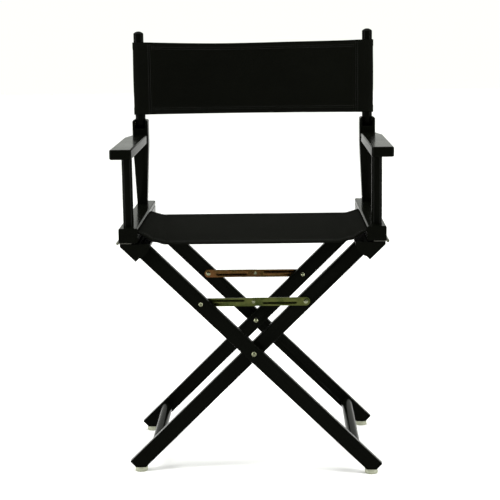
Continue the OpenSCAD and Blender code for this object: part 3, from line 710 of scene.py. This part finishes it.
print("canvas back", round(2 * SEAM_X, 3), "by", round(BACK_H, 3), "between seams")


# %% The panel between the dowels
def hem_thickness(share, length):
    """Twice the cloth near either edge, with a soft step at the stitching."""
    from_edge = min(share, 1 - share) * length
    return HEM_T - (HEM_T - CLOTH_T) * smooth_rise(HEM_W, HEM_W + 0.003, from_edge)


def back_panel(u, v):
    x = SEAM_X * (2 * u - 1)
    across = math.sin(math.pi * u)
    slack = across ** 0.8
    top = BACK_TOP - BACK_DIP * slack * (0.8 + 0.2 * math.sin(2 * math.pi * u))
    bottom = BACK_BOTTOM + BACK_LIFT * slack
    z = bottom + (top - bottom) * v
    belly = BACK_BELLY * across * (0.55 + 0.45 * math.sin(math.pi * v))
    ripple = RIPPLE * math.sin(9 * math.pi * u + 2.2 * v) * across
    pull = SEAM_PULL * math.exp(-(((u - 0.03) / 0.05) ** 2)) * math.sin(3 * math.pi * v)
    pull -= SEAM_PULL * math.exp(-(((u - 0.97) / 0.05) ** 2)) * math.sin(3 * math.pi * v)
    edge = min(u, 1 - u)
    dimple = SEAM_DIMPLE * (1 - smooth_rise(0, 0.014, edge))
    return Vector((x, PANEL_Y + belly + ripple + pull * edge * 12 + dimple, z))


panel = cloth_sheet("back_canvas_panel", back_panel, 150, 64,
                    lambda u, v: hem_thickness(v, BACK_H), BACK_CLOTH, "left_back_post")


# %% The sleeves round the dowels
def back_sleeve(side):
    """Middle surface: from the seam round the dowel's outside to the panel's back."""
    reach = DOWEL_X - SEAM_X

    def surface(u, v):
        z_low = BACK_BOTTOM - SLEEVE_SWELL * math.sin(math.pi * u)
        z = z_low + (BACK_TOP - z_low) * v
        flat_share = reach / (2 * reach + math.pi * SLEEVE_R)
        swell = SLEEVE_SWELL * math.sin(math.pi * v) ** 2
        if u < flat_share:                     # along the front, towards the dowel
            t = u / flat_share
            dimple = SEAM_DIMPLE * (1 - smooth_rise(0, 0.26, t))
            return Vector((side * (SEAM_X + reach * t), PANEL_Y + dimple - swell * t, z))
        if u > 1 - flat_share:                 # along the back, down to the seam
            t = (1 - u) / flat_share
            end_y = PANEL_Y + SLEEVE_LAYER
            y = end_y + (DOWEL_Y + SLEEVE_R - end_y) * smooth_rise(0, 1, t)
            return Vector((side * (SEAM_X - SLEEVE_TAIL + (reach + SLEEVE_TAIL) * t), y, z))
        t = (u - flat_share) / (1 - 2 * flat_share)
        angle = -math.pi / 2 + math.pi * t
        radius = SLEEVE_R + swell
        return Vector((side * (DOWEL_X + radius * math.cos(angle)),
                       DOWEL_Y + radius * math.sin(angle), z))

    return surface


def sleeve_thickness(u, v):
    return hem_thickness(v, BACK_H) * 0.92


for side, word in ((-1, "left"), (1, "right")):
    cloth_sheet("back_canvas_sleeve_" + word, back_sleeve(side), 64, 48,
                                      sleeve_thickness, BACK_CLOTH, word + "_back_post")

# %% [markdown]
# ### Stitching of the back
# Two rows hold each hem and two rows hold each sleeve, the way an upholstery machine with
# twin needles sews them.

# %% Back stitches
TO_FRONT = Vector((0, -1, 0))
back_seams = []
for label, v in (("top_outer", 1 - 0.010 / BACK_H), ("top_inner", 1 - HEM_W / BACK_H),
                 ("bottom_outer", 0.010 / BACK_H), ("bottom_inner", HEM_W / BACK_H)):
    back_seams.append(stitch_row("back_stitches_" + label,
                                 seam(back_panel, 0.005, v, 0.995, v, 2 * SEAM_X, TO_FRONT),
                                 0.0016, "left_back_post"))
for side, word in ((-1, "left"), (1, "right")):
    surface = back_sleeve(side)
    rows = [stitch_row("back_sleeve_stitches_" + word + "_" + label,
                       seam(surface, u, 0.02, u, 0.98, BACK_H, TO_FRONT), 0.0015,
                       word + "_back_post")
            for label, u in (("inner", 0.008), ("outer", 0.055))]
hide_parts("back_canvas")
print("back stitches", len(back_seams) + 4, "rows")

# %% [markdown]
# ## The canvas seat
# The seat hangs between the rails from two rods in their grooves. Its weight pulls it into
# a shallow trough: it leaves each slot steeply and lies almost flat in the middle. The
# start shape is that trough; a short cloth simulation, held along both rails, then lets the
# free front and back edges droop and the surface settle as real canvas does. How far a
# point may move is capped, so the seat keeps its place.

# %% Sizes of the canvas seat
seat_low, seat_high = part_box("seat_canvas")
rod_low, rod_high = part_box("seat_rod_right")
SLOT_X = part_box("seat_rail_right")[0][0]
SLOT_Z = (rod_low[2] + rod_high[2]) / 2
ROD_X = (rod_low[0] + rod_high[0]) / 2
SEAT_FRONT = seat_low[1]
SEAT_BACK = seat_high[1]
SEAT_DEPTH = SEAT_BACK - SEAT_FRONT
FRONT_SAG = 0.0195                     # canvas pulls down most at its free front edge
BACK_SAG = 0.0045
SLOPE_W = 0.030                        # how far in from a slot the steep part reaches
TUCK = 0.003                           # cloth that shows inside each slot
SEAT_STEPS = (120, 72)
SEAT_HEM_W = 0.018
SETTLE_CAP = 0.003                     # furthest that settling may move a point
print("seat", round(2 * SLOT_X, 3), "by", round(SEAT_DEPTH, 3), "sag", FRONT_SAG, BACK_SAG)


# %% The trough
def seat_trough(u, v):
    x = (SLOT_X + TUCK) * (2 * u - 1)
    inside = SLOT_X - abs(x)
    fall = smooth_rise(0, SLOPE_W, inside) if inside > 0 else 0
    slack = FRONT_SAG + (BACK_SAG - FRONT_SAG) * v ** 0.8
    return Vector((x, SEAT_FRONT + SEAT_DEPTH * v, SLOT_Z - slack * fall))


# %% [markdown]
# The simulation runs on a bare one-layer grid, because a closed sheet would fight itself.
# What it learns is only how far each point has settled; that is read back as a small offset
# and given to the closed sheet.

# %% Settle the seat
def settled_offsets(surface, steps_u, steps_v, cap):
    corners = [surface(i / steps_u, j / steps_v)
               for i in range(steps_u + 1) for j in range(steps_v + 1)]
    row = steps_v + 1
    faces = [(i * row + j, i * row + j + 1, (i + 1) * row + j + 1, (i + 1) * row + j)
             for i in range(steps_u) for j in range(steps_v)]
    mesh = bpy.data.meshes.new("seat_settling")
    mesh.from_pydata([tuple(c) for c in corners], [], faces)
    cloth = bpy.data.objects.new("seat_settling", mesh)
    bpy.context.scene.collection.objects.link(cloth)
    held = cloth.vertex_groups.new(name="held")
    held.add([i * row + j for i in (0, 1, steps_u - 1, steps_u) for j in range(row)], 1.0, "ADD")
    sim = cloth.modifiers.new("settle", "CLOTH").settings
    sim.quality = 8
    sim.mass = 0.45
    sim.tension_stiffness = 60
    sim.compression_stiffness = 60
    sim.shear_stiffness = 20
    sim.bending_stiffness = 4
    sim.air_damping = 6
    sim.vertex_group_mass = "held"
    scene = bpy.context.scene
    for number in range(1, 21):
        scene.frame_set(number)
    settled = cloth.evaluated_get(bpy.context.evaluated_depsgraph_get())
    moves = []
    for before, after in zip(corners, settled.data.vertices):
        move = after.co - before
        moves.append(move * min(1.0, cap / max(move.length, 1e-9)))
    scene.frame_set(1)
    bpy.data.objects.remove(cloth)
    return [[moves[i * row + j] for j in range(row)] for i in range(steps_u + 1)]


seat_moves = settled_offsets(seat_trough, *SEAT_STEPS, SETTLE_CAP)
print("largest settling", round(max(m.length for r in seat_moves for m in r) * 1000, 1), "mm")


def seat_surface(u, v):
    """The trough with its settling, read between the grid's points."""
    place = seat_trough(u, v)
    if seat_moves is None:
        return place
    i = min(SEAT_STEPS[0] - 1, max(0, int(u * SEAT_STEPS[0])))
    j = min(SEAT_STEPS[1] - 1, max(0, int(v * SEAT_STEPS[1])))
    s = u * SEAT_STEPS[0] - i
    t = v * SEAT_STEPS[1] - j
    near = seat_moves[i][j].lerp(seat_moves[i + 1][j], s)
    far = seat_moves[i][j + 1].lerp(seat_moves[i + 1][j + 1], s)
    return place + near.lerp(far, t)


# %% The seat's cloth, hems and sleeves
def seat_thickness(u, v):
    from_edge = min(v, 1 - v) * SEAT_DEPTH
    return HEM_T - (HEM_T - CLOTH_T) * smooth_rise(SEAT_HEM_W, SEAT_HEM_W + 0.003, from_edge)


seat = cloth_sheet("seat_canvas_cloth", seat_surface, *SEAT_STEPS, seat_thickness, SEAT_CLOTH,
                   "left_side")
TO_TOP = Vector((0, 0, 1))
seat_seams = []
for label, v in (("front_outer", 0.013 / SEAT_DEPTH), ("front_inner", SEAT_HEM_W / SEAT_DEPTH),
                 ("back_outer", 1 - 0.013 / SEAT_DEPTH), ("back_inner", 1 - SEAT_HEM_W / SEAT_DEPTH)):
    seat_seams.append(stitch_row("seat_stitches_" + label,
                                 seam(seat_surface, 0.02, v, 0.98, v, 2 * SLOT_X, TO_TOP),
                                 0.0016, "left_side"))


def seat_sleeve(side):
    """Cloth turned round the rod inside the rail's groove, open towards the slot."""
    radius = (rod_high[0] - rod_low[0]) / 2 + 0.0009

    def surface(u, v):
        angle = math.radians(205) + math.radians(310) * u
        return Vector((side * (ROD_X + radius * math.cos(angle)),
                       SEAT_FRONT + SEAT_DEPTH * v, SLOT_Z + radius * math.sin(angle)))

    return surface


for side, word in ((-1, "left"), (1, "right")):
    sleeve = cloth_sheet("seat_canvas_sleeve_" + word, seat_sleeve(side), 20, 24,
                         lambda u, v: CLOTH_T, SEAT_CLOTH, word + "_side")
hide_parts("seat_canvas")

# %% [markdown]
# ## The fold joints and the cloth's meshes
# When the legs cross over, the right side comes towards the left one. Cloth can't follow a
# hinge there. The fold and cross-pivot joints and the fold's limit are read here, and the seat,
# the back panel and their stitches get meshes of their own; their shape does not change with the
# fold.

# %% Read the fold joints and give the panels their own meshes
fold = next(j for j in frame["joints"] if j["name"] == "fold")
cross = next(j for j in frame["joints"] if j["name"] == "cross_pivot")
hinge = Vector(fold["pos_m"])
pivot = Vector(cross["pos_m"])
limit = math.radians(max(fold["range_deg"]))
for pieces, half in (([seat, *seat_seams], SLOT_X), ([panel, *back_seams], SEAM_X)):
    for piece in pieces:
        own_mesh(piece)

# %% [markdown]
# ## Floor, light and air
# The chair stands on a plain white sweep. Black lacquer shows almost nothing but what it
# reflects, so the light matters more than the paint: a bright sweep behind, which gives the
# pale sheen on faces seen edge-on, a dim room on the camera's side, which keeps the front
# faces black, and two tall soft boxes, which draw the upright highlights on the dowels. Light
# that falls straight down from a wide ceiling doesn't fade with distance, so the far floor
# stays as white as the near floor; a big soft box there would leave it grey.

# %% Floor
def white_sweep():
    material, graph, where = start_material("white_floor")
    mottle = graph.noise(where, 3.0, 2)
    close_material(graph, {"Base Color": graph.blend(mottle, (0.86, 0.86, 0.85), (0.9, 0.9, 0.89)),
                           "Roughness": 0.85, "Specular IOR Level": 0.2})
    return material


FLOOR_HALF = 14.0
floor_mesh = bpy.data.meshes.new("floor")
floor_mesh.from_pydata([(-FLOOR_HALF, -FLOOR_HALF, 0), (FLOOR_HALF, -FLOOR_HALF, 0),
                        (FLOOR_HALF, FLOOR_HALF, 0), (-FLOOR_HALF, FLOOR_HALF, 0)], [],
                       [(0, 1, 2, 3)])
floor_mesh.materials.append(white_sweep())
floor = bpy.data.objects.new("floor", floor_mesh)
bpy.context.scene.collection.objects.link(floor)


# %% Soft boxes
def soft_box(name, at, size, watts, aim=(0, 0, 0.45)):
    data = bpy.data.lights.new(name, "AREA")
    data.shape = "RECTANGLE"
    data.size, data.size_y = size
    data.energy = watts
    lamp = bpy.data.objects.new(name, data)
    bpy.context.scene.collection.objects.link(lamp)
    lamp.location = at
    lamp.rotation_euler = (Vector(aim) - Vector(at)).to_track_quat("-Z", "Y").to_euler()
    return lamp


TOP_WATTS = 50
STRIP_WATTS = 70
soft_box("top_box", (0, -0.4, 3.0), (3.0, 2.6), TOP_WATTS)
for strip, strip_x in (("left_strip", -2.4), ("right_strip", 2.4)):
    soft_box(strip, (strip_x, -0.9, 1.2), (0.4, 2.4), STRIP_WATTS)


# %% The ceiling
ceiling_data = bpy.data.lights.new("ceiling", "SUN")
ceiling_data.energy = 2.2
ceiling_data.angle = math.radians(80)
ceiling = bpy.data.objects.new("ceiling", ceiling_data)
bpy.context.scene.collection.objects.link(ceiling)
ceiling.rotation_euler = (math.radians(-12), 0, 0)


# %% The room's light
DIM_ROOM = (0.03, 0.03, 0.028)
BRIGHT_SWEEP = (1.02, 1.05, 0.98)


def room_light():
    world = bpy.data.worlds.new("studio")
    world.use_nodes = True
    bpy.context.scene.world = world
    graph = Graph(world.node_tree)
    direction = graph.add("ShaderNodeTexCoord").out("Generated")
    split = graph.add("ShaderNodeSeparateXYZ", {}, {0: direction})
    behind = (split.out("Y") * 1.4 + 0.75).clamped()
    colour = graph.blend(behind, DIM_ROOM, BRIGHT_SWEEP)
    sky = graph.add("ShaderNodeBackground", {}, {"Color": colour, "Strength": 1.0})
    graph.add("ShaderNodeOutputWorld", {}, {"Surface": sky.out()})


room_light()
